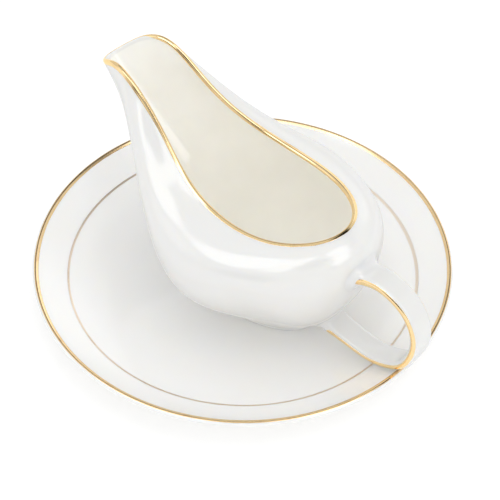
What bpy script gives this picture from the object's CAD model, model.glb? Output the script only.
import math

import bpy
import numpy as np
from mathutils import Matrix, Vector
from mathutils.bvhtree import BVHTree


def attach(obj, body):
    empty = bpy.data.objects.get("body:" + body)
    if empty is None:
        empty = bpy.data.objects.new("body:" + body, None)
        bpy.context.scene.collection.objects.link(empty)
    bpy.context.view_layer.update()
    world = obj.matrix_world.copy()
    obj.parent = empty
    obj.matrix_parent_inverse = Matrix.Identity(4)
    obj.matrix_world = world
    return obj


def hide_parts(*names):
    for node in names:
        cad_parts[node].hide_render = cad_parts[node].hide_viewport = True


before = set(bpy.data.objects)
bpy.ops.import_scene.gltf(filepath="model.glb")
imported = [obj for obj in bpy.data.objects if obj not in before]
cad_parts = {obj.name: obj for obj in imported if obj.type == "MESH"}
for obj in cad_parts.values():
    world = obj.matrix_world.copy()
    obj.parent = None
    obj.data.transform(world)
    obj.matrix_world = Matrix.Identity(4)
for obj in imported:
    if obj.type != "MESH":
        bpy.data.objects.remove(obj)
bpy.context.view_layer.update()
MM = 0.001

# ------------------------------------------------------------------ saucer dimensions
WELL_H, WELL_R = 7.5, 56.0              # flat well: height of its top, radius
COUPE_R = 82.85                         # radius of the arc that rises from the well to the edge
SAUCER_WALL = 2.6
SAUCER_EDGE_R = 99.6                    # where the arc meets the rounded lip
UNDER_Z = 4.6                           # underside within the foot ring
SAUCER_FOOT_OUT, SAUCER_FOOT_IN = 58.5, 53.0
FOOT_TAPER = 0.9                        # how far each wall of the ring leans in by the ground
EDGE_GOLD_RUN, EDGE_GOLD_WRAP = 1.1, 60.0   # gold: reach down the arc, degrees round the lip
LINE_R, LINE_W = 84.7, 0.85             # thin gold line: radius, width
PALE_AZ = math.radians(232)             # where the thin line is broad and pale

# ------------------------------------------------------------------ boat dimensions
FOOT_X, FOOT_A, FOOT_B, FOOT_TOP = -8.96, 37.02, 21.15, 10.37   # centre, half axes, top height
RECESS, FLOOR_T, RING_W = 1.8, 3.0, 2.9
WALL_BASE, WALL_RIM = 3.0, 2.3
LIP_R = WALL_RIM / 2
LIP_RUN = 1.2                           # straight stretch just below the round of the lip
INNER_SCALE = 0.80                      # inner floor against the foot ellipse
BLEND_H = 6.0                           # the inner wall turns into the floor this far above it
# Middle line of the lip (x, y, z) on the +Y side, from the back (-X) to the tip of the spout,
# at even steps of the foot's angle.
RIM = np.array([
    (-59.91, 0.00, 83.57), (-57.35, 9.06, 82.90), (-50.10, 17.15, 81.31),
    (-39.11, 23.37, 79.61), (-25.35, 26.78, 78.78), (-10.09, 27.21, 79.43),
    (5.17, 25.59, 82.12), (19.15, 22.45, 87.70), (31.48, 19.27, 95.72),
    (42.46, 17.19, 104.29), (52.24, 16.23, 111.42), (61.04, 15.60, 115.25),
    (68.92, 14.48, 114.89), (75.83, 12.64, 110.94), (81.57, 9.40, 106.03),
    (85.54, 5.02, 102.30), (86.94, 0.00, 100.99)])
# Each upright line of the wall is a Bezier curve from foot to rim. Its two middle control
# points are given at these angles: the lower by distance from the foot and angle above level,
# the upper by distance from the rim and angle outwards from straight down.
KNOTS = np.array([0.0, 0.28, 0.54, 0.78, 0.90, 1.0]) * math.pi
BELLY_REACH = (26.32, 78.67, 75.68, 49.32, 38.26, 28.96)
BELLY_RISE = (0.6749, 0.9113, 0.6088, 1.1097, 1.4210, 1.5712)
NECK_REACH = (28.79, 19.21, 10.11, 7.25, 20.00, 11.82)
NECK_LEAN = (1.5700, 1.2423, 0.2526, -0.3184, -0.4322, -0.7475)

# ------------------------------------------------------------------ handle dimensions
# Middle line of the strap (x, z), from the lower root round to the upper root.
LOOP = np.array([
    (-50.0, 21.6), (-58.7, 19.9), (-65.9, 18.8), (-73.9, 17.8), (-84.0, 17.8),
    (-93.8, 21.0), (-99.1, 24.2), (-103.1, 28.7), (-106.3, 36.2), (-107.8, 43.8),
    (-106.8, 52.0), (-104.0, 58.0), (-100.4, 62.1), (-95.9, 65.0), (-90.4, 67.0),
    (-85.0, 67.7), (-79.6, 66.8), (-74.9, 65.1), (-70.0, 62.5)])
STRAP_HALF_W, STRAP_HALF_T = 6.3, 2.2
FLARE, FLARE_LEN = 0.55, 13.0           # extra size at the roots and how far it carries
LOW_FILLET = {"reach": 3.2, "back": 3.4}    # run over the belly, run back up the strap
HIGH_FILLET = {"reach": 5.0, "back": 5.2}
EDGE_HALF_LINES = 14 * 0.30 + 0.9       # half width of an edge's gold, in section lines
OUTER_EXTRA, INNER_EXTRA = 2.9, -1.3    # added to it on the loop's outer and inner sides

# ------------------------------------------------------------------ gold layers
GOLD_T, FINE_GOLD_T = 0.035, 0.025
GOLD_SINK = 0.12                        # depth of the layer's underside in the glaze
GOLD_TUCK = 0.01                        # depth of its feathered edges in the glaze

# ------------------------------------------------------------------ sample counts
COLS = 400                              # round the boat
WALL_ROWS, LIP_ROWS, INNER_ROWS, BLEND_ROWS = 110, 22, 84, 16
STATIONS = 321                          # along the strap's middle line
STRAP_ROWS = 260
SAUCER_COLS = 480


# ------------------------------------------------------------------ curves
def unit(vectors):
    vectors = np.asarray(vectors, float)
    return vectors / np.maximum(np.linalg.norm(vectors, axis=-1, keepdims=True), 1e-12)


def periodic_poles(points):
    """Poles of the closed cubic B-spline that passes through the points."""
    n = len(points)
    weights = np.zeros((n, n))
    for i in range(n):
        weights[i, i] += 4 / 6
        weights[i, (i - 1) % n] += 1 / 6
        weights[i, (i + 1) % n] += 1 / 6
    return np.linalg.solve(weights, points)


def periodic_eval(poles, u):
    """Points and tangents of the closed B-spline."""
    n = len(poles)
    i = np.floor(u).astype(int)
    f = (u - i)[:, None]
    basis = ((1 - f) ** 3 / 6, (3 * f**3 - 6 * f**2 + 4) / 6,
             (-3 * f**3 + 3 * f**2 + 3 * f + 1) / 6, f**3 / 6)
    slope = (-((1 - f) ** 2) / 2, (9 * f**2 - 12 * f) / 6, (-9 * f**2 + 6 * f + 3) / 6, f**2 / 2)
    near = [poles[(i - 1 + k) % n] for k in range(4)]
    return sum(b * p for b, p in zip(basis, near)), sum(s * p for s, p in zip(slope, near))


def flat_ended_spline(knots, values, at):
    """Cubic spline with zero slope at both ends."""
    n = len(knots)
    h = np.diff(knots)
    rise = np.diff(values) / h
    system, rhs = np.zeros((n, n)), np.zeros(n)
    system[0, 0] = system[-1, -1] = 1
    for i in range(1, n - 1):
        system[i, i - 1:i + 2] = h[i], 2 * (h[i - 1] + h[i]), h[i - 1]
        rhs[i] = 3 * (h[i] * rise[i - 1] + h[i - 1] * rise[i])
    slope = np.linalg.solve(system, rhs)
    i = np.clip(np.searchsorted(knots, at, side="right") - 1, 0, n - 2)
    w = (at - knots[i]) / h[i]
    v = np.asarray(values)
    return ((2 * w**3 - 3 * w**2 + 1) * v[i] + (w**3 - 2 * w**2 + w) * h[i] * slope[i]
            + (-2 * w**3 + 3 * w**2) * v[i + 1] + (w**3 - w**2) * h[i] * slope[i + 1])


def natural_spline(points, count):
    """Free-ended cubic spline through the points over chord length, sampled count times."""
    x = np.r_[0, np.cumsum(np.linalg.norm(np.diff(points, axis=0), axis=1))]
    at = np.linspace(0, x[-1], count)
    n = len(x)
    h = np.diff(x)
    system = np.zeros((n, n))
    rhs = np.zeros_like(points, float)
    system[0, 0] = system[-1, -1] = 1
    for i in range(1, n - 1):
        system[i, i - 1:i + 2] = h[i - 1], 2 * (h[i - 1] + h[i]), h[i]
        rhs[i] = 6 * ((points[i + 1] - points[i]) / h[i] - (points[i] - points[i - 1]) / h[i - 1])
    bend = np.linalg.solve(system, rhs)
    i = np.clip(np.searchsorted(x, at, side="right") - 1, 0, n - 2)
    before, after = (at - x[i])[:, None], (x[i + 1] - at)[:, None]
    h = h[i][:, None]
    return ((bend[i] * after**3 + bend[i + 1] * before**3) / (6 * h)
            + (points[i] / h - bend[i] * h / 6) * after
            + (points[i + 1] / h - bend[i + 1] * h / 6) * before)


def quadratic(start, corner, end, t):
    return (1 - t) ** 2 * start + 2 * (1 - t) * t * corner + t * t * end


def wander(count, waves, seed):
    """Smooth closed random wave with unit peak: the unsteadiness of a hand-drawn edge."""
    rng = np.random.default_rng(seed)
    t = np.arange(count) * 2 * math.pi / count
    y = np.zeros(count)
    for wave in waves:
        y += rng.normal() / math.sqrt(wave) * np.cos(wave * t + rng.uniform(0, 2 * math.pi))
    return y / np.abs(y).max()


# ------------------------------------------------------------------ mesh making
def quads(rows, cols, closed=True):
    faces = []
    for j in range(rows - 1):
        for i in range(cols if closed else cols - 1):
            i2 = (i + 1) % cols
            faces.append((j * cols + i, j * cols + i2, (j + 1) * cols + i2, (j + 1) * cols + i))
    return faces


def outward(verts, faces):
    """Turns all faces round if the closed mesh encloses a negative volume."""
    volume = 0.0
    for face in faces:
        for k in range(1, len(face) - 1):
            volume += np.dot(verts[face[0]], np.cross(verts[face[k]], verts[face[k + 1]]))
    return faces if volume > 0 else [tuple(reversed(face)) for face in faces]


def mesh_object(name, verts, faces, body, replaces, attributes):
    """Smooth closed mesh from mm points; attributes hold a number or a vector per vertex."""
    mesh = bpy.data.meshes.new(name)
    mesh.from_pydata([tuple(v) for v in verts * MM], [], outward(verts, faces))
    mesh.validate()
    mesh.update()
    for key, values in attributes.items():
        values = np.asarray(values, np.float32)
        if values.ndim == 1:
            mesh.attributes.new(key, "FLOAT", "POINT").data.foreach_set("value", values)
        else:
            layer = mesh.attributes.new(key, "FLOAT_VECTOR", "POINT")
            layer.data.foreach_set("vector", values.ravel())
    mesh.polygons.foreach_set("use_smooth", [True] * len(mesh.polygons))
    ob = bpy.data.objects.new(name, mesh)
    bpy.context.scene.collection.objects.link(ob)
    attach(ob, body)
    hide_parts(replaces)


def porcelain_object(name, rows, centres, body, replaces, inside, bare):
    """Closed rings of points, the first and last fanned to a centre point. The marks
    `inside` (the boat's hollow) and `bare` (unglazed) are given per ring."""
    rows = np.asarray(rows)
    count, cols = rows.shape[:2]
    verts = np.vstack([rows.reshape(-1, 3), centres])
    faces = quads(count, cols)
    total = count * cols
    for i in range(cols):
        i2 = (i + 1) % cols
        faces.append((total, i2, i))
        faces.append((total + 1, total - cols + i, total - cols + i2))
    marks = {key: np.r_[np.repeat(ring, cols), ring[0], ring[-1]]
             for key, ring in (("inside", inside), ("bare", bare))}
    mesh_object(name, verts, faces, body, replaces, marks)


def band_coords(grid, closed):
    """Texture coordinates in metres: x (and z) along the band, y across it."""
    rows, cols = grid.shape[:2]
    along = np.r_[0, np.cumsum(np.linalg.norm(np.diff(grid[rows // 2], axis=0), axis=1))]
    across = np.r_[0, np.cumsum(np.linalg.norm(np.diff(grid[:, 0], axis=0), axis=1))]
    coords = np.zeros((rows, cols, 3))
    coords[..., 0] = along[None]
    coords[..., 1] = across[:, None]
    if closed:   # wrapped on a circle so that there is no seam
        angle = 2 * math.pi * np.arange(cols) / cols
        radius = along[-1] / (2 * math.pi)
        coords[..., 0] = radius * np.cos(angle)[None]
        coords[..., 2] = radius * np.sin(angle)[None]
    return coords * MM


def gold_layer(name, grid, normals, body, replaces, thick=GOLD_T, closed=True):
    """Thin closed shell over a grid (rows across, columns along, 3), feathered into the glaze
    at its long edges and, where the band is open, at its ends."""
    rows, cols = grid.shape[:2]
    lift = np.full(rows, thick)
    for k in range(2):
        feathered = -GOLD_TUCK + (thick + GOLD_TUCK) * math.sin(k / 2 * math.pi / 2)
        lift[k] = lift[rows - 1 - k] = feathered
    ends = np.ones(cols)
    if not closed:
        for k in range(4):
            ends[k] = ends[cols - 1 - k] = math.sin(k / 4 * math.pi / 2)
    height = lift[:, None] * ends[None] - GOLD_TUCK * (1 - ends[None])
    top = grid + normals * height[..., None]
    bottom = grid - normals * GOLD_SINK
    verts = np.vstack([top.reshape(-1, 3), bottom.reshape(-1, 3)])
    n = rows * cols
    faces = quads(rows, cols, closed)
    faces += [tuple(n + k for k in reversed(face)) for face in faces]
    for i in range(cols if closed else cols - 1):
        i2 = (i + 1) % cols
        faces.append((i2, i, n + i, n + i2))
        a, b = (rows - 1) * cols + i, (rows - 1) * cols + i2
        faces.append((a, b, n + b, n + a))
    if not closed:
        for j in range(rows - 1):
            a, b = j * cols, (j + 1) * cols
            faces.append((a, b, n + b, n + a))
            a, b = a + cols - 1, b + cols - 1
            faces.append((b, a, n + a, n + b))
    coords = band_coords(grid, closed).reshape(-1, 3)
    mesh_object(name, verts, faces, body, replaces, {"band": np.vstack([coords, coords])})


# ------------------------------------------------------------------ the boat's outer wall
def close_rows(half):
    """Adds the mirror image on the -Y side to a half outline."""
    return np.vstack([half, (half * [1, -1, 1])[-2:0:-1]])


def wall_control_splines():
    """Poles of the four closed curves of Bezier control points, from foot to rim."""
    angle = math.pi * np.arange(17) / 16
    tangent = periodic_eval(periodic_poles(close_rows(RIM)), np.arange(17.0))[1]
    rim_out = unit(np.c_[-tangent[:, 1], tangent[:, 0], np.zeros(17)])
    rim_out[0], rim_out[-1] = (-1, 0, 0), (1, 0, 0)
    foot = np.c_[FOOT_X - FOOT_A * np.cos(angle), FOOT_B * np.sin(angle), np.full(17, FOOT_TOP)]
    foot_out = unit(np.c_[-np.cos(angle) / FOOT_A, np.sin(angle) / FOOT_B, np.zeros(17)])
    reach, rise, neck, lean = (
        flat_ended_spline(KNOTS, values, angle)[:, None]
        for values in (BELLY_REACH, BELLY_RISE, NECK_REACH, NECK_LEAN))
    up = np.array([0, 0, 1.0])
    belly = foot + reach * (np.cos(rise) * foot_out + np.sin(rise) * up)
    throat = RIM + neck * (np.sin(lean) * rim_out - np.cos(lean) * up)
    splines = []
    for row in (foot, belly, throat, RIM):
        row = row.copy()
        row[0, 1] = row[-1, 1] = 0
        splines.append(periodic_poles(close_rows(row)))
    return splines


col_u = 32.0 * np.arange(COLS) / COLS
controls = [periodic_eval(poles, col_u) for poles in wall_control_splines()]
CONTROL_POINTS = np.stack([c[0] for c in controls], 1)      # COLS, 4, 3
CONTROL_SLOPES = np.stack([c[1] for c in controls], 1)


def on_wall(v):
    """v (COLS, k) -> point, upward direction and outward normal, each (COLS, k, 3)."""
    v = v[..., None]
    basis = ((1 - v) ** 3, 3 * (1 - v) ** 2 * v, 3 * (1 - v) * v * v, v**3)
    slope = (-3 * (1 - v) ** 2, 3 * (1 - v) ** 2 - 6 * (1 - v) * v,
             6 * (1 - v) * v - 3 * v * v, 3 * v * v)
    point = sum(basis[k] * CONTROL_POINTS[:, None, k] for k in range(4))
    upward = sum(slope[k] * CONTROL_POINTS[:, None, k] for k in range(4))
    around = sum(basis[k] * CONTROL_SLOPES[:, None, k] for k in range(4))
    return point, unit(upward), unit(np.cross(upward, around))


CURVE_V = np.linspace(0, 1, 401)
curve_points = on_wall(np.tile(CURVE_V, (COLS, 1)))[0]
curve_steps = np.linalg.norm(np.diff(curve_points, axis=1), axis=2)
CURVE_ARC = np.concatenate([np.zeros((COLS, 1)), np.cumsum(curve_steps, 1)], 1)


def along_wall(s):
    """The same as on_wall, at arc lengths s (COLS, k) above the foot."""
    return on_wall(np.stack([np.interp(s[i], CURVE_ARC[i], CURVE_V) for i in range(COLS)]))


wall_end = CURVE_ARC[:, -1] - (LIP_RUN + LIP_R)
outer, outer_up, outer_n = along_wall(wall_end[:, None] * np.linspace(0, 1, WALL_ROWS)[None])
edge_up, edge_n = outer_up[:, -1], outer_n[:, -1]
lip_centre = outer[:, -1] + edge_up * LIP_RUN - edge_n * LIP_R


# ------------------------------------------------------------------ boat body
FLOOR_TOP = WELL_H + RECESS + FLOOR_T
COL_ANGLE = 2 * math.pi * np.arange(COLS) / COLS


def inner_wall(s):
    point, _, normal = along_wall(s)
    thick = WALL_BASE + (WALL_RIM - WALL_BASE) * s / wall_end[:, None]
    return point - normal * thick[..., None]


def foot_row(offset, z):
    """Foot ellipse moved out by offset, at height z."""
    out = unit(np.c_[-np.cos(COL_ANGLE) / FOOT_A, np.sin(COL_ANGLE) / FOOT_B, np.zeros(COLS)])
    return np.c_[FOOT_X - FOOT_A * np.cos(COL_ANGLE) + offset * out[:, 0],
                 FOOT_B * np.sin(COL_ANGLE) + offset * out[:, 1], np.full(COLS, z)]


def shrunk(row, scale, z):
    """The row drawn in towards the foot's centre, at height z."""
    return np.c_[FOOT_X + (row[:, 0] - FOOT_X) * scale, row[:, 1] * scale, np.full(COLS, z)]


def lip_rows():
    path = [(1.0, 0.0, -LIP_RUN / 2)]
    path += [(math.cos(a), math.sin(a), 0.0) for a in np.linspace(0, math.pi, LIP_ROWS)]
    path.append((-1.0, 0.0, -LIP_RUN / 2))
    return [lip_centre + edge_n * (LIP_R * out) + edge_up * (LIP_R * up + drop)
            for out, up, drop in path]


def hollow_rows():
    """Rows down the inner wall and round onto the ellipse of the inner floor."""
    blend_z = FLOOR_TOP + BLEND_H
    s_grid = np.linspace(0, 1, 161)[None] * wall_end[:, None]
    z_grid = inner_wall(s_grid)[..., 2]
    low = np.empty(COLS)
    for i in range(COLS):
        k = np.argmax(z_grid[i] >= blend_z)
        z0, z1 = z_grid[i, k - 1], z_grid[i, k]
        s0, s1 = s_grid[i, k - 1], s_grid[i, k]
        low[i] = s0 + (s1 - s0) * (blend_z - z0) / (z1 - z0)
    steps = np.linspace(0, 1, INNER_ROWS)[None]
    inner = inner_wall(wall_end[:, None] + (low - wall_end)[:, None] * steps)
    start = inner[:, -1]
    down = unit(start - inner_wall((low + 1.0)[:, None])[:, 0])
    floor_edge = np.c_[FOOT_X - INNER_SCALE * FOOT_A * np.cos(COL_ANGLE),
                       INNER_SCALE * FOOT_B * np.sin(COL_ANGLE), np.full(COLS, FLOOR_TOP)]
    out = unit(np.c_[start[:, :2] - floor_edge[:, :2], np.zeros(COLS)])
    pull = np.linalg.norm(start - floor_edge, axis=1)[:, None] * 0.42
    p1, p2 = start + down * pull, floor_edge + out * pull
    rows = [inner[:, k] for k in range(INNER_ROWS)]
    for k in range(1, BLEND_ROWS + 1):
        t = k / BLEND_ROWS
        rows.append((1 - t) ** 3 * start + 3 * (1 - t) ** 2 * t * p1
                    + 3 * (1 - t) * t * t * p2 + t**3 * floor_edge)
    return rows, floor_edge


def build_boat_body():
    rows, inside, bare = [], [], []

    def add(row, is_inside=0.0, is_bare=0.0):
        rows.append(row)
        inside.append(is_inside)
        bare.append(is_bare)

    # recess ceiling, from the centre out
    recess_z = WELL_H + RECESS
    ceiling = -RING_W - 1.6
    for scale in np.linspace(0.04, 0.94, 9):
        add(shrunk(foot_row(ceiling, recess_z), scale, recess_z))
    # foot ring as (offset, height): inner wall, standing face, outer wall
    ring_in = natural_spline(np.array([
        (ceiling - 0.9, recess_z), (ceiling, recess_z - 0.02), (-RING_W - 0.95, WELL_H + 1.25),
        (-RING_W - 0.70, WELL_H + 0.65), (-RING_W - 0.35, WELL_H + 0.16), (-RING_W, WELL_H)]), 14)
    for offset, z in ring_in[1:]:
        add(foot_row(offset, min(z, recess_z)),
            is_bare=float(np.clip((WELL_H + 0.5 - z) / 0.3, 0, 1)))
    for offset in (-RING_W + 0.5, -2.05, -1.6):
        add(foot_row(offset, WELL_H), is_bare=1.0)
    rise = FOOT_TOP - WELL_H
    ring_out = natural_spline(np.array([
        (-1.2, WELL_H), (-0.72, WELL_H + rise * 0.12), (-0.50, WELL_H + rise * 0.34),
        (-0.50, WELL_H + rise * 0.58), (-0.35, WELL_H + rise * 0.80), (0.0, FOOT_TOP)]), 15)
    for offset, z in ring_out[:-1]:
        add(foot_row(offset, max(z, WELL_H)),
            is_bare=float(np.clip((WELL_H + 0.45 - z) / 0.3, 0, 1)))
    for k in range(WALL_ROWS):
        add(outer[:, k])
    for row in lip_rows():
        add(row, is_inside=0.5)
    hollow, floor_edge = hollow_rows()
    for row in hollow:
        add(row, is_inside=1.0)
    # the inner floor dips a little towards its centre
    dip = 0.12
    for scale in (0.97, 0.90, 0.78, 0.62, 0.45, 0.28, 0.12):
        add(shrunk(floor_edge, scale, FLOOR_TOP - dip * (1 - scale)), is_inside=1.0)
    porcelain_object("boat_body_porcelain", rows,
                     [(FOOT_X, 0, recess_z), (FOOT_X, 0, FLOOR_TOP - dip)],
                     "boat", "boat_body", inside, bare)


build_boat_body()


# ------------------------------------------------------------------ boat rim gold
def build_boat_rim_gold():
    station = np.minimum(col_u, 32.0 - col_u)     # 0 at the back, 16 at the tip of the spout

    def run_width(seed):
        return (LIP_RUN + 0.16 * wander(COLS, range(2, 60), seed)
                + 0.05 * wander(COLS, range(40, 150), seed + 1))

    # broader on the outside in one place on each flank
    width_out = run_width(3) + 1.5 * np.exp(-(((station - 9.9) / 1.3) ** 2))
    width_in = run_width(5)
    # round the pouring lip the brush only caught the outer part of the edge
    spout = np.clip((station - 11.3) / 1.6, 0, 1)
    spout = spout * spout * (3 - 2 * spout)
    reach_in = (math.pi * LIP_R + width_in) * (1 - spout) + math.radians(118.0) * LIP_R * spout
    band, normals = [], []
    for k in range(9):       # below the round, on the outer wall
        point, _, normal = along_wall((wall_end + LIP_RUN - width_out * (1 - k / 9.0))[:, None])
        band.append(point[:, 0])
        normals.append(normal[:, 0])
    for share in np.linspace(0, 1, 34):       # over the round and down the inside
        gone = reach_in * share
        angle = np.minimum(gone / LIP_R, math.pi)[:, None]
        straight = np.maximum(gone - math.pi * LIP_R, 0.0)[:, None]
        normal = edge_n * np.cos(angle) + edge_up * np.sin(angle)
        band.append(lip_centre + normal * LIP_R - edge_up * straight)
        normals.append(normal)
    gold_layer("boat_rim_gilding", np.stack(band), np.stack(normals),
               "boat", "boat_rim_gold_band")


build_boat_rim_gold()


# ------------------------------------------------------------------ handle
def strap_section(half_w, half_t, arc_count=15, flat_count=14):
    """(across, out) round the strap, starting at the middle of the +Y edge; out points away
    from the loop's hollow."""
    radius = half_t * 0.98
    edge = 0.85 * radius
    flat = half_w - radius * 0.85
    quarter = math.pi / 2
    points = []

    def add_arc(centre, angles):
        points.extend((centre + edge * math.cos(a), radius * math.sin(a)) for a in angles)

    add_arc(flat, np.linspace(0, quarter, arc_count))
    for k in range(1, flat_count):
        x = flat - 2 * flat * k / flat_count
        points.append((x, radius + (half_t - radius + 0.10) * (1 - (x / flat) ** 2)))
    add_arc(-flat, np.linspace(quarter, 3 * quarter, 2 * arc_count - 1))
    for k in range(1, flat_count):
        x = -flat + 2 * flat * k / flat_count
        points.append((x, -radius - (half_t - radius) * (1 - (x / flat) ** 2)))
    add_arc(flat, np.linspace(3 * quarter, 4 * quarter, arc_count)[:-1])
    return np.array(points)


def sweep_strap():
    """Strap points (STATIONS, section lines, 3) and the length of the middle line."""
    fine = natural_spline(LOOP, 2001)
    fine_s = np.r_[0, np.cumsum(np.linalg.norm(np.diff(fine, axis=0), axis=1))]
    total = fine_s[-1]
    s = np.linspace(0, total, STATIONS)
    mid_x, mid_z = np.interp(s, fine_s, fine[:, 0]), np.interp(s, fine_s, fine[:, 1])
    tan_x, tan_z = np.gradient(mid_x, s), np.gradient(mid_z, s)
    size = np.hypot(tan_x, tan_z)
    out_x, out_z = tan_z / size, -tan_x / size
    grow = 1.0 + FLARE * np.exp(-((np.minimum(s, total - s) / FLARE_LEN) ** 2))
    section = np.stack([
        strap_section(STRAP_HALF_W * (1 + 0.25 * (g - 1)), STRAP_HALF_T * g) for g in grow])
    points = np.zeros((STATIONS, section.shape[1], 3))
    points[..., 0] = mid_x[:, None] + out_x[:, None] * section[..., 1]
    points[..., 1] = section[..., 0]
    points[..., 2] = mid_z[:, None] + out_z[:, None] * section[..., 1]
    return points, total


strap, strap_length = sweep_strap()
LINES = strap.shape[1]
STATION_STEP = strap_length / (STATIONS - 1)

belly_points = outer.transpose(1, 0, 2).reshape(-1, 3)
belly_normals = outer_n.transpose(1, 0, 2).reshape(-1, 3)
belly_tree = BVHTree.FromPolygons([Vector(v) for v in belly_points], quads(WALL_ROWS, COLS))


def surface_near(point):
    """Closest point on the belly, its outward normal, and the signed distance."""
    found, _, index, _ = belly_tree.find_nearest(Vector(point))
    found = np.array(found)
    j, i = divmod(index, COLS)
    i2 = (i + 1) % COLS
    quad = [j * COLS + i, j * COLS + i2, (j + 1) * COLS + i2, (j + 1) * COLS + i]
    weight = np.array([1 / (np.linalg.norm(belly_points[k] - found) + 1e-6) for k in quad])
    normal = unit((belly_normals[quad] * weight[:, None]).sum(0))
    return found, normal, float(np.dot(np.array(point) - found, normal))


def pressed_in(point, depth):
    """Closest point on the belly, sunk by depth."""
    found, normal, _ = surface_near(point)
    return found - normal * depth


def find_root(order):
    """Fractional station at which each strap line meets the belly; order runs from clear air."""
    hit = np.zeros(LINES)
    for line in range(LINES):
        last = None
        for station in order:
            distance = surface_near(strap[station, line])[2]
            if distance <= 0 and last is not None:
                share = last[1] / (last[1] - distance)
                hit[line] = last[0] + (station - last[0]) * share
                break
            last = (station, distance)
        else:
            raise RuntimeError("the strap does not reach the belly")
    return hit


def at_station(line, station):
    station = min(max(station, 0.0), STATIONS - 1.0)
    i = min(int(station), STATIONS - 2)
    share = station - i
    return strap[i, line] * (1 - share) + strap[i + 1, line] * share


def relax(ring, times):
    for _ in range(times):
        ring = 0.5 * ring + 0.25 * np.roll(ring, 1, 0) + 0.25 * np.roll(ring, -1, 0)
    return ring


def fillet(hit, sign, reach, back):
    """Rows from the strap onto the belly, and the point that closes them inside the wall.
    sign is -1 at the lower root, +1 at the upper one."""
    meeting = relax(np.stack([at_station(k, hit[k]) for k in range(LINES)]), 3)
    snapped = [surface_near(p) for p in meeting]
    meeting = np.stack([s[0] for s in snapped])
    normal = np.stack([s[1] for s in snapped])
    away = unit(np.cross(unit(np.roll(meeting, -2, 0) - np.roll(meeting, 2, 0)), normal))
    if np.mean(np.sum(away * (meeting - meeting.mean(0)), 1)) < 0:
        away = -away
    start = np.stack([at_station(k, hit[k] - sign * back / STATION_STEP) for k in range(LINES)])
    end = np.stack([pressed_in(p + w * reach, 0.01) for p, w in zip(meeting, away)])
    end = np.stack([pressed_in(p, 0.012) for p in relax(end, 6)])
    corner = 0.88 * meeting + 0.12 * (start + end) / 2
    rows = [quadratic(start, corner, end, t) for t in np.linspace(0, 1, 13)[1:]]
    tuck = np.stack([pressed_in(p + w * 0.5, 0.35) for p, w in zip(end, away)])
    rows.append(tuck)
    return rows, tuck.mean(0) - unit(normal.mean(0)) * 0.2


def handle_rows():
    """All rings from the lower root to the upper, their end centres, and the fillet's row
    count."""
    low_hit = find_root(range(int(STATIONS * 0.30), -1, -1))
    high_hit = find_root(range(int(STATIONS * 0.80), STATIONS))
    low_rows, low_centre = fillet(low_hit, -1, **LOW_FILLET)
    high_rows, high_centre = fillet(high_hit, +1, **HIGH_FILLET)
    first = low_hit + LOW_FILLET["back"] / STATION_STEP
    last = high_hit - HIGH_FILLET["back"] / STATION_STEP
    rows = low_rows[::-1]
    for j in range(STRAP_ROWS + 1):
        f = j / STRAP_ROWS
        rows.append(np.stack([
            at_station(k, first[k] * (1 - f) + last[k] * f) for k in range(LINES)]))
    return np.stack(rows + high_rows), [low_centre, high_centre], len(low_rows)


handle, handle_centres, fillet_rows = handle_rows()
no_marks = np.zeros(len(handle))
porcelain_object("handle_strap_porcelain", handle, handle_centres,
                 "boat", "handle", no_marks, no_marks)
handle_n = unit(np.cross(np.gradient(handle, axis=0),
                         np.roll(handle, -1, 1) - np.roll(handle, 1, 1)))


def gild_handle_edge(name, replaces, side, seed):
    """Gold along one edge of the strap; side is +1 for the +Y edge, -1 for the -Y edge."""
    rows = np.arange(fillet_rows + 3, len(handle) - 8)
    n = len(rows)

    def brush_width(first_seed):
        return (1 + 0.10 * wander(n, range(1, 40), first_seed)
                + 0.04 * wander(n, range(40, 120), first_seed + 1))

    width_before, width_after = brush_width(seed), brush_width(seed + 2)
    tip = np.ones(n)         # brush-rounded ends
    for k in range(5):
        tip[k] = tip[n - 1 - k] = math.sqrt(1 - ((5 - k) / 5.2) ** 2)
    centre = 0.0 if side > 0 else LINES / 2
    points, normals = [], []
    for f in np.linspace(-1, 1, 15):
        half = EDGE_HALF_LINES + (OUTER_EXTRA if f * -side > 0 else INNER_EXTRA)
        line = (centre + f * half * (width_before if f < 0 else width_after) * tip) % LINES
        i = np.floor(line).astype(int) % LINES
        i2 = (i + 1) % LINES
        share = (line - np.floor(line))[:, None]
        points.append(handle[rows, i] * (1 - share) + handle[rows, i2] * share)
        normals.append(unit(handle_n[rows, i] * (1 - share) + handle_n[rows, i2] * share))
    gold_layer(name, np.stack(points), np.stack(normals), "boat", replaces,
               closed=False)


gild_handle_edge("handle_gilding_left", "handle_gold_line_left", side=1, seed=21)
gild_handle_edge("handle_gilding_right", "handle_gold_line_right", side=-1, seed=31)

# ------------------------------------------------------------------ saucer
SAUCER_ANGLE = 2 * math.pi * np.arange(SAUCER_COLS) / SAUCER_COLS
COUPE_Z = WELL_H + COUPE_R
EDGE_ANGLE = math.asin((SAUCER_EDGE_R - WELL_R) / COUPE_R)
SAUCER_LIP_R = SAUCER_WALL / 2


def coupe_point(angle, radius=COUPE_R):
    """(r, z) on the rising arc; the angle starts at the well's edge."""
    return WELL_R + radius * np.sin(angle), COUPE_Z - radius * np.cos(angle)


SAUCER_LIP = coupe_point(EDGE_ANGLE, COUPE_R + SAUCER_LIP_R)


def lip_point(turn):
    """(r, z, normal r, normal z) on the lip, turned outwards and down from the upper face."""
    angle = math.pi / 2 + EDGE_ANGLE - turn
    nr, nz = np.cos(angle), np.sin(angle)
    return SAUCER_LIP[0] + SAUCER_LIP_R * nr, SAUCER_LIP[1] + SAUCER_LIP_R * nz, nr, nz


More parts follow.
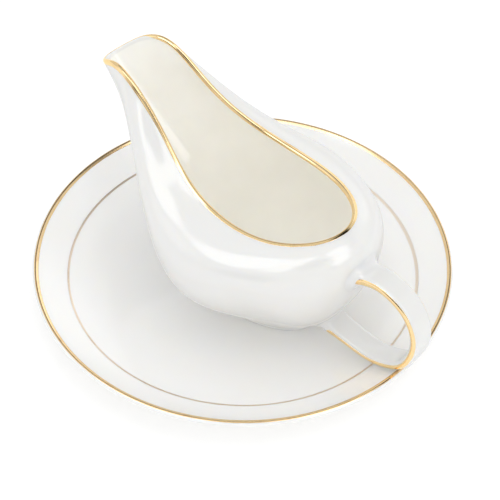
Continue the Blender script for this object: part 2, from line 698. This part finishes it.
def saucer_profile():
    """(r, z, bare) from the centre of the underside, out round the lip, and back on top."""
    profile = []

    def add(r, z, bare=0.0):
        profile.append((r, z, bare))

    quarter = math.pi / 2
    for r in (3.0, 9.0, 17.0, 26.0, 34.0, 41.0, 47.0, 50.5):
        add(r, UNDER_Z)
    # foot ring: rounded root on the inside, leaning wall, rounded standing edges
    lean = FOOT_TAPER / UNDER_Z
    for f in np.linspace(0, 1, 9):
        t = f * quarter
        add(SAUCER_FOOT_IN - 1.25 + 1.25 * math.sin(t) + lean * 1.4 * f,
            UNDER_Z - 1.35 * (1 - math.cos(t)))
    for z in (2.6, 2.0, 1.4, 0.9):
        add(SAUCER_FOOT_IN + lean * (UNDER_Z - z), z)
    ring_in, ring_out = SAUCER_FOOT_IN + FOOT_TAPER, SAUCER_FOOT_OUT - FOOT_TAPER
    round_r = 0.6
    for t in np.linspace(0, quarter, 7):
        add(ring_in + round_r - round_r * math.cos(t), round_r - round_r * math.sin(t),
            min(1.0, t / 0.8))
    for r in (ring_in + 1.0, (ring_in + ring_out) / 2, ring_out - 1.0):
        add(r, 0.0, 1.0)
    for t in np.linspace(0, quarter, 7):
        add(ring_out - round_r + round_r * math.sin(t), round_r - round_r * math.cos(t),
            min(1.0, (quarter - t) / 0.8))
    # outer wall of the ring, and its fillet onto the underside of the arc
    under_r = COUPE_R + SAUCER_WALL
    root_z = COUPE_Z - math.sqrt(under_r**2 - (SAUCER_FOOT_OUT - WELL_R) ** 2)
    for z in (1.3, 2.0, 2.7, root_z - 1.5):
        add(ring_out + FOOT_TAPER * z / root_z, z)
    start = np.array(profile[-1][:2])
    corner = np.array((ring_out + FOOT_TAPER, root_z))
    start_angle = math.asin((SAUCER_FOOT_OUT + 1.5 - WELL_R) / under_r)
    end = np.array(coupe_point(start_angle, under_r))
    for t in np.linspace(0, 1, 8)[1:]:
        add(*quadratic(start, corner, end, t))
    for angle in np.linspace(start_angle, EDGE_ANGLE, 40)[1:]:
        add(*coupe_point(angle, under_r))
    for turn in np.linspace(math.pi, 0, 18)[1:-1]:
        add(*lip_point(turn)[:2])
    for angle in np.linspace(EDGE_ANGLE, 0, 70):
        add(*coupe_point(angle))
    for r in (53.0, 49.0, 44.0, 38.0, 31.0, 23.0, 15.0, 7.0, 3.0):
        add(r, WELL_H)
    return np.array(profile)


def around(r, z):
    """A ring of points; r and z are numbers or arrays over the circle."""
    return np.c_[r * np.cos(SAUCER_ANGLE), r * np.sin(SAUCER_ANGLE),
                 np.broadcast_to(z, SAUCER_COLS)]


def build_saucer():
    profile = saucer_profile()
    porcelain_object("saucer_porcelain", [around(r, z) for r, z, _ in profile],
                     [(0, 0, UNDER_Z), (0, 0, WELL_H)], "saucer", "saucer",
                     np.zeros(len(profile)), profile[:, 2])


def gild_saucer(name, rows, replaces, thick):
    """rows: (r, z, normal r, normal z), each an array over the circle or one number."""
    points = np.stack([around(r, z) for r, z, _, _ in rows])
    normals = unit(np.stack([around(nr, nz) for _, _, nr, nz in rows]))
    gold_layer(name, points, normals, "saucer", replaces, thick)


def coupe_row(angle):
    return *coupe_point(angle), -np.sin(angle), np.cos(angle)


def build_saucer_gold():
    def sway(slow, split, fast, top, seed):
        """Slow and fast wander of an edge; split and top are the highest wave counts."""
        return (slow * wander(SAUCER_COLS, range(1, split), seed)
                + fast * wander(SAUCER_COLS, range(split, top), seed + 1))

    run = (EDGE_GOLD_RUN + sway(0.10, 50, 0.03, 160, seed=41)) / COUPE_R
    wrap = math.radians(EDGE_GOLD_WRAP) + sway(0.07, 50, 0.03, 160, seed=43) / SAUCER_LIP_R
    rows = [coupe_row(EDGE_ANGLE - run * k) for k in np.linspace(1, 0, 7)[:-1]]
    rows += [lip_point(wrap * k) for k in np.linspace(0, 1, 14)]
    gild_saucer("saucer_rim_gilding", rows, "saucer_rim_gold_band", GOLD_T)

    from_pale = (SAUCER_ANGLE - PALE_AZ + math.pi) % (2 * math.pi) - math.pi
    broad = 0.14 + 0.28 * np.exp(-((from_pale / 0.55) ** 2))
    inner = LINE_R - LINE_W / 2 - WELL_R + sway(0.05, 40, 0.035, 170, seed=51) - broad
    outside = LINE_R + LINE_W / 2 - WELL_R + sway(0.05, 40, 0.035, 170, seed=53) + broad
    rows = [coupe_row(np.arcsin((inner * (1 - k) + outside * k) / COUPE_R))
            for k in np.linspace(0, 1, 9)]
    gild_saucer("saucer_inner_gilding", rows, "saucer_inner_gold_line",
                FINE_GOLD_T)


build_saucer()
build_saucer_gold()


# ------------------------------------------------------------------ shader trees
class Shader:
    """Short calls for building one node tree around a single shader node."""

    def __init__(self, tree, output_kind, shader_kind):
        tree.nodes.clear()
        self.tree = tree
        output = self.add(output_kind)
        self.node = self.add(shader_kind)
        tree.links.new(self.node.outputs[0], output.inputs[0])

    def fill(self, node, inputs):
        """Links sockets and sets plain values."""
        for key, value in inputs.items():
            if isinstance(value, bpy.types.NodeSocket):
                self.tree.links.new(value, node.inputs[key])
            else:
                node.inputs[key].default_value = value

    def add(self, kind, inputs=None, **settings):
        node = self.tree.nodes.new(kind)
        for key, value in settings.items():
            setattr(node, key, value)
        self.fill(node, inputs or {})
        return node

    def attribute(self, name):
        return self.add("ShaderNodeAttribute", attribute_name=name)

    def position(self):
        return self.add("ShaderNodeTexCoord").outputs["Object"]

    def noise(self, vector, scale, detail=2.0, roughness=0.5):
        return self.add("ShaderNodeTexNoise", {
            "Vector": vector, "Scale": scale, "Detail": detail,
            "Roughness": roughness}).outputs["Fac"]

    def cells(self, vector, scale):
        return self.add("ShaderNodeTexVoronoi", {
            "Vector": vector, "Scale": scale, "Randomness": 1.0}, feature="F1")

    def ramp(self, value, span, to=(0.0, 1.0)):
        return self.add("ShaderNodeMapRange", {
            "Value": value, "From Min": span[0], "From Max": span[1],
            "To Min": to[0], "To Max": to[1]}, clamp=True).outputs[0]

    def mix_color(self, factor, a, b):
        return self.add("ShaderNodeMix", {0: factor, 6: a, 7: b}, data_type="RGBA").outputs[2]

    def mix_value(self, factor, a, b):
        return self.add("ShaderNodeMix", {0: factor, 2: a, 3: b}, data_type="FLOAT").outputs[0]

    def math(self, operation, a, b):
        return self.add("ShaderNodeMath", {0: a, 1: b}, operation=operation).outputs[0]

    def times(self, a, b):
        return self.math("MULTIPLY", a, b)

    def blend(self, a, share_a, b, share_b):
        return self.math("ADD", self.times(a, share_a), self.times(b, share_b))

    def shifted(self, vector, shift):
        return self.add("ShaderNodeVectorMath", {0: vector, 1: shift}, operation="ADD").outputs[0]

    def dot(self, a, b):
        return self.add("ShaderNodeVectorMath", {0: a, 1: b},
                        operation="DOT_PRODUCT").outputs["Value"]

    def bump(self, height, distance, strength=1.0, normal=None):
        inputs = {"Height": height, "Distance": distance, "Strength": strength}
        if normal is not None:
            inputs["Normal"] = normal
        return self.add("ShaderNodeBump", inputs).outputs[0]


def new_material(name):
    material = bpy.data.materials.new(name)
    material.use_nodes = True
    return material, Shader(material.node_tree, "ShaderNodeOutputMaterial",
                            "ShaderNodeBsdfPrincipled")


# ------------------------------------------------------------------ porcelain
def porcelain(name, outside, inside_color, seed):
    """Glazed bone china: a pale translucent body under a clear, faintly wavy glaze."""
    material, sh = new_material(name)
    place = sh.shifted(sh.position(), (seed, seed * 1.7, seed * 0.3))
    inside = sh.attribute("inside").outputs["Fac"]
    bare = sh.attribute("bare").outputs["Fac"]

    # slow drift of the glaze's tint towards cream
    drift = sh.noise(place, scale=28.0, detail=3.0, roughness=0.55)
    base = sh.mix_color(inside, (*outside, 1), (*inside_color, 1))
    cream = (outside[0] * 0.995, outside[1] * 0.985, outside[2] * 0.955, 1)
    color = sh.mix_color(sh.ramp(drift, span=(0.35, 0.65)), base, sh.mix_color(0.5, base, cream))
    # very few, very small iron and kiln specks: the middles of a few picked cells
    cells = sh.cells(place, scale=95.0)
    speck = sh.ramp(cells.outputs["Distance"], span=(0.010, 0.022), to=(1.0, 0.0))
    pick = sh.add("ShaderNodeSeparateColor", {"Color": cells.outputs["Color"]}).outputs[0]
    speck = sh.times(speck, sh.ramp(pick, span=(0.968, 0.972)))
    color = sh.mix_color(sh.times(speck, 0.45), color, (0.42, 0.36, 0.28, 1))
    # raw body where the piece stands
    grain = sh.noise(place, scale=2600.0, detail=2.0, roughness=0.6)
    raw = sh.mix_color(sh.ramp(grain, span=(0.35, 0.7)),
                       (0.74, 0.72, 0.68, 1), (0.86, 0.85, 0.82, 1))
    color = sh.mix_color(bare, color, raw)
    patches = sh.noise(place, scale=140.0, detail=3.0, roughness=0.6)
    glaze_rough = sh.ramp(patches, span=(0.3, 0.7), to=(0.16, 0.24))

    # the glaze mirrors less at glancing angles, where it would draw a hard line round the
    # outline; there the colour is greyed a little too
    facing = sh.add("ShaderNodeLayerWeight", {"Blend": 0.5}).outputs["Facing"]
    held = sh.ramp(facing, span=(0.50, 0.88), to=(1.0, 0.0))
    greyed = sh.mix_color(0.13, color, (0.25, 0.25, 0.25, 1))
    smear = sh.noise(place, scale=60.0, detail=4.0, roughness=0.65)

    # glaze surface: long soft waves, fine orange peel, an occasional pin-prick
    wave = sh.noise(place, scale=46.0)
    peel = sh.noise(place, scale=620.0, roughness=0.55)
    prick = sh.ramp(sh.cells(place, scale=260.0).outputs["Distance"], span=(0.02, 0.075))
    glaze_n = sh.bump(wave, distance=0.00007)
    glaze_n = sh.bump(peel, distance=0.0000035, normal=glaze_n)
    glaze_n = sh.bump(prick, distance=0.000004, strength=0.6, normal=glaze_n)

    sh.fill(sh.node, {
        "Base Color": sh.mix_color(held, greyed, color),
        "Roughness": sh.mix_value(bare, glaze_rough, 0.82),
        "IOR": 1.5,
        "Specular IOR Level": sh.times(held, 0.32),
        "Subsurface Weight": 0.25,
        "Subsurface Radius": (1.0, 0.8, 0.55),
        "Subsurface Scale": 0.0045,
        # light that comes through the thin wall into the hollow
        "Emission Color": (1.0, 0.975, 0.90, 1.0),
        "Emission Strength": sh.times(inside, 0.062),
        "Coat Weight": sh.times(sh.mix_value(bare, 0.9, 0.0), held),
        "Coat Roughness": sh.ramp(smear, span=(0.42, 0.72), to=(0.022, 0.055)),
        "Coat IOR": 1.5,
        "Coat Normal": glaze_n,
        "Normal": sh.bump(sh.times(grain, bare), distance=0.00008),
    })
    return material


# ------------------------------------------------------------------ gold
def gilding(name, bright, deep, roughness, wear, seed, pale=None):
    """Brushed fired gold: streaks along the stroke, browner where it is thin. roughness is
    (low, high); pale, if given, is the colour around PALE_AZ."""
    material, sh = new_material(name)
    place = sh.shifted(sh.attribute("band").outputs["Vector"], (seed, 0.0, seed * 0.7))
    stretched = sh.add("ShaderNodeMapping", {
        "Vector": place, "Scale": (60.0, 5200.0, 60.0)}).outputs[0]
    streak = sh.noise(stretched, scale=1.0, detail=3.0, roughness=0.6)
    patch = sh.noise(place, scale=85.0, detail=3.0, roughness=0.6)
    fine = sh.noise(place, scale=900.0, detail=3.0, roughness=0.6)
    thin = sh.ramp(sh.blend(patch, 0.7, fine, 0.3), span=(0.50, 0.66))
    color = sh.mix_color(sh.ramp(streak, span=(0.3, 0.7)),
                         (*bright, 1), (*[0.93 * c for c in bright], 1))
    color = sh.mix_color(sh.times(thin, wear), color, (*deep, 1))
    if pale:   # the gold is thin here and the glaze shows through
        direction = sh.add("ShaderNodeVectorMath", {0: sh.position()},
                           operation="NORMALIZE").outputs["Vector"]
        near = sh.dot(direction, (math.cos(PALE_AZ), math.sin(PALE_AZ), 0.0))
        color = sh.mix_color(sh.ramp(near, span=(0.70, 0.92)), color, (*pale, 1))
    rough = sh.ramp(sh.blend(streak, 0.5, fine, 0.5), span=(0.35, 0.65), to=roughness)
    normal = sh.bump(streak, distance=0.000004)
    sh.fill(sh.node, {
        "Base Color": color,
        "Metallic": 1.0,
        "Specular Tint": (1.0, 0.93, 0.72, 1.0),
        "Roughness": sh.mix_value(sh.times(thin, 0.5), rough, roughness[1] + 0.12),
        "Normal": sh.bump(fine, distance=0.000003, normal=normal),
    })
    return material


# ------------------------------------------------------------------ materials on the pieces
BOAT_COLOR, HOLLOW_COLOR = (0.825, 0.825, 0.819), (0.925, 0.915, 0.878)
boat_glaze = porcelain("boat_glaze", BOAT_COLOR, HOLLOW_COLOR, seed=0.13)
handle_glaze = porcelain("handle_glaze", BOAT_COLOR, HOLLOW_COLOR, seed=0.57)
saucer_glaze = porcelain("saucer_glaze", (0.935, 0.93, 0.92), HOLLOW_COLOR, seed=0.91)
boat_gold = gilding("gilding", bright=(0.98, 0.735, 0.40), deep=(0.68, 0.42, 0.19),
                    roughness=(0.05, 0.12), wear=0.35, seed=0.2)
saucer_gold = gilding("gilding_saucer", bright=(0.98, 0.725, 0.41), deep=(0.72, 0.46, 0.24),
                      roughness=(0.13, 0.22), wear=0.45, seed=0.6)
fine_gold = gilding("gilding_fine", bright=(0.87, 0.735, 0.60), deep=(0.70, 0.56, 0.45),
                    roughness=(0.28, 0.42), wear=0.6, seed=0.9, pale=(0.97, 0.85, 0.72))
for piece, piece_material in {
        "boat_body_porcelain": boat_glaze,
        "boat_rim_gilding": boat_gold,
        "handle_strap_porcelain": handle_glaze,
        "handle_gilding_left": boat_gold,
        "handle_gilding_right": boat_gold,
        "saucer_porcelain": saucer_glaze,
        "saucer_rim_gilding": saucer_gold,
        "saucer_inner_gilding": fine_gold}.items():
    slots = bpy.data.objects[piece].data.materials
    slots.clear()
    slots.append(piece_material)


# ------------------------------------------------------------------ floor
def build_floor(half=4.0, gap=0.0002):
    """White paper, a hair below the saucer's foot."""
    mesh = bpy.data.meshes.new("floor")
    corners = [(-half, -half, 0), (half, -half, 0), (half, half, 0), (-half, half, 0)]
    mesh.from_pydata(corners, [], [(0, 1, 2, 3)])
    floor = bpy.data.objects.new("floor", mesh)
    bpy.context.scene.collection.objects.link(floor)
    floor.location = (0, 0, -gap)
    material, sh = new_material("floor_paper")
    sh.fill(sh.node, {
        "Base Color": sh.mix_color(sh.noise(sh.position(), scale=3.0),
                                   (0.95, 0.95, 0.95, 1), (0.965, 0.965, 0.965, 1)),
        "Roughness": 0.75,
        "Emission Color": (1, 1, 1, 1),
        "Emission Strength": 0.11,
        "Specular IOR Level": 0.15,
    })
    mesh.materials.append(material)


build_floor()

# ------------------------------------------------------------------ camera
# The view is set up looking along +Y and down, then turned by -CAMERA_TURN about Z.
CAMERA_TURN = math.radians(139.0)
CAMERA_DISTANCE = 1.0797598663643962
CAMERA_DOWN, CAMERA_ROLL = 0.8182252997238996, 0.01852538383711954    # radians
AIM_X, AIM_Y, AIM_Z = 0.003295508008762031, 0.01356595489531822, 0.0125    # before the turn
SENSOR_WIDTH, LENS = 36.0, 158.4        # mm


def build_camera():
    forward = np.array([0, math.cos(CAMERA_DOWN), -math.sin(CAMERA_DOWN)])
    level_up = np.array([0, math.sin(CAMERA_DOWN), math.cos(CAMERA_DOWN)])
    level_right = np.array([1.0, 0, 0])
    cos_roll, sin_roll = math.cos(CAMERA_ROLL), math.sin(CAMERA_ROLL)
    right = cos_roll * level_right + sin_roll * level_up
    up = -sin_roll * level_right + cos_roll * level_up
    position = np.array([AIM_X, AIM_Y, AIM_Z]) - CAMERA_DISTANCE * forward
    cos_turn, sin_turn = math.cos(CAMERA_TURN), math.sin(CAMERA_TURN)
    turn = np.array([(cos_turn, sin_turn, 0), (-sin_turn, cos_turn, 0), (0, 0, 1.0)])
    pose = np.eye(4)
    pose[:3] = turn @ np.stack([right, up, -forward, position], 1)
    data = bpy.data.cameras.new("camera")
    camera = bpy.data.objects.new("camera", data)
    bpy.context.scene.collection.objects.link(camera)
    camera.matrix_world = Matrix(pose.tolist())
    data.sensor_width = SENSOR_WIDTH
    data.lens = LENS
    data.clip_start, data.clip_end = 0.05, 50.0
    bpy.context.scene.camera = camera


build_camera()

# ------------------------------------------------------------------ world: a white tent
AMBIENT = 0.84                       # brightness of the tent as diffuse light
SEEN = (0.80, 0.80)                  # brightness in reflections, low down and overhead
# azimuth from +X, elevation, inner and outer radius (degrees), brightness in reflections
PANELS = (
    (131, 46, 10, 20, 0.02),         # the gap round the camera
    (95, 8, 11, 18, 0.02),           # the open front of the tent
    (-43, 43, 7, 13, 0.0),           # the dark seam high at the back
    (-62, 57, 7, 13, 0.0),
    (-90, 60, 5, 12, 0.20),          # dim strips beside the seam
    (-120, 58, 5, 12, 0.12),
    (-148, 47, 5, 12, 0.12),
    (70, 51, 15, 18, 3.0),           # soft panel behind the belly's crescent
    (-174, 64, 13, 16, 2.8),         # upright strip over the handle's root
    (-178, 44, 13, 16, 2.8),
    (176, 24, 12, 15, 2.8),
    (104, 66, 6, 9, 2.8),            # upright strip that lights the neck
    (104, 53, 6, 9, 2.8),
    (102, 40, 6, 9, 2.8),
    (-75, 22, 6, 20, 1.4),           # low panels
    (45, 20, 6, 20, 1.5),
)


def build_world():
    """Reflections see the panels; diffuse light comes from the whole tent alike."""
    world = bpy.data.worlds.new("studio")
    bpy.context.scene.world = world
    world.use_nodes = True
    sh = Shader(world.node_tree, "ShaderNodeOutputWorld", "ShaderNodeBackground")
    direction = sh.add("ShaderNodeTexCoord").outputs["Generated"]
    height = sh.add("ShaderNodeSeparateXYZ", {0: direction}).outputs[2]
    glossy = sh.add("ShaderNodeLightPath").outputs["Is Glossy Ray"]
    seen = sh.ramp(height, span=(-0.3, 0.9), to=SEEN)
    for azimuth, elevation, inner, outside, brightness in PANELS:
        az, el = math.radians(azimuth), math.radians(elevation)
        centre = (math.cos(el) * math.cos(az), math.cos(el) * math.sin(az), math.sin(el))
        span = (math.cos(math.radians(outside)), math.cos(math.radians(inner)))
        seen = sh.mix_value(sh.ramp(sh.dot(direction, centre), span), seen, brightness)
    sh.fill(sh.node, {
        "Color": sh.mix_color(sh.ramp(height, span=(0.0, 0.8)),
                              (1.0, 0.995, 0.985, 1), (0.985, 0.993, 1.0, 1)),
        "Strength": sh.mix_value(glossy, AMBIENT, seen),
    })


build_world()


# ------------------------------------------------------------------ lights
def softbox(name, location, size, power, color, target=(0, 0, 0.03)):
    """Square area light aimed at the target and hidden from reflections."""
    light = bpy.data.lights.new(name, "AREA")
    light.energy = power
    light.color = color
    light.shape = "RECTANGLE"
    light.size = light.size_y = size
    ob = bpy.data.objects.new(name, light)
    bpy.context.scene.collection.objects.link(ob)
    ob.location = location
    aim = Vector(target) - Vector(location)
    ob.rotation_euler = aim.to_track_quat("-Z", "Y").to_euler()
    ob.visible_glossy = False


softbox("top_softbox", location=(-0.15, -0.15, 1.40), size=1.2, power=3.9,
        color=(1.0, 0.995, 0.985))
softbox("front_fill", location=(-0.75, 0.85, 0.95), size=1.0, power=1.6,
        color=(0.99, 0.995, 1.0))

# ------------------------------------------------------------------ render settings
scene = bpy.context.scene
scene.view_settings.view_transform = "Standard"
scene.view_settings.look = "None"
scene.view_settings.exposure = 0.0
scene.view_settings.gamma = 1.0
scene.cycles.diffuse_bounces = 10
scene.cycles.glossy_bounces = 5
scene.cycles.max_bounces = 14
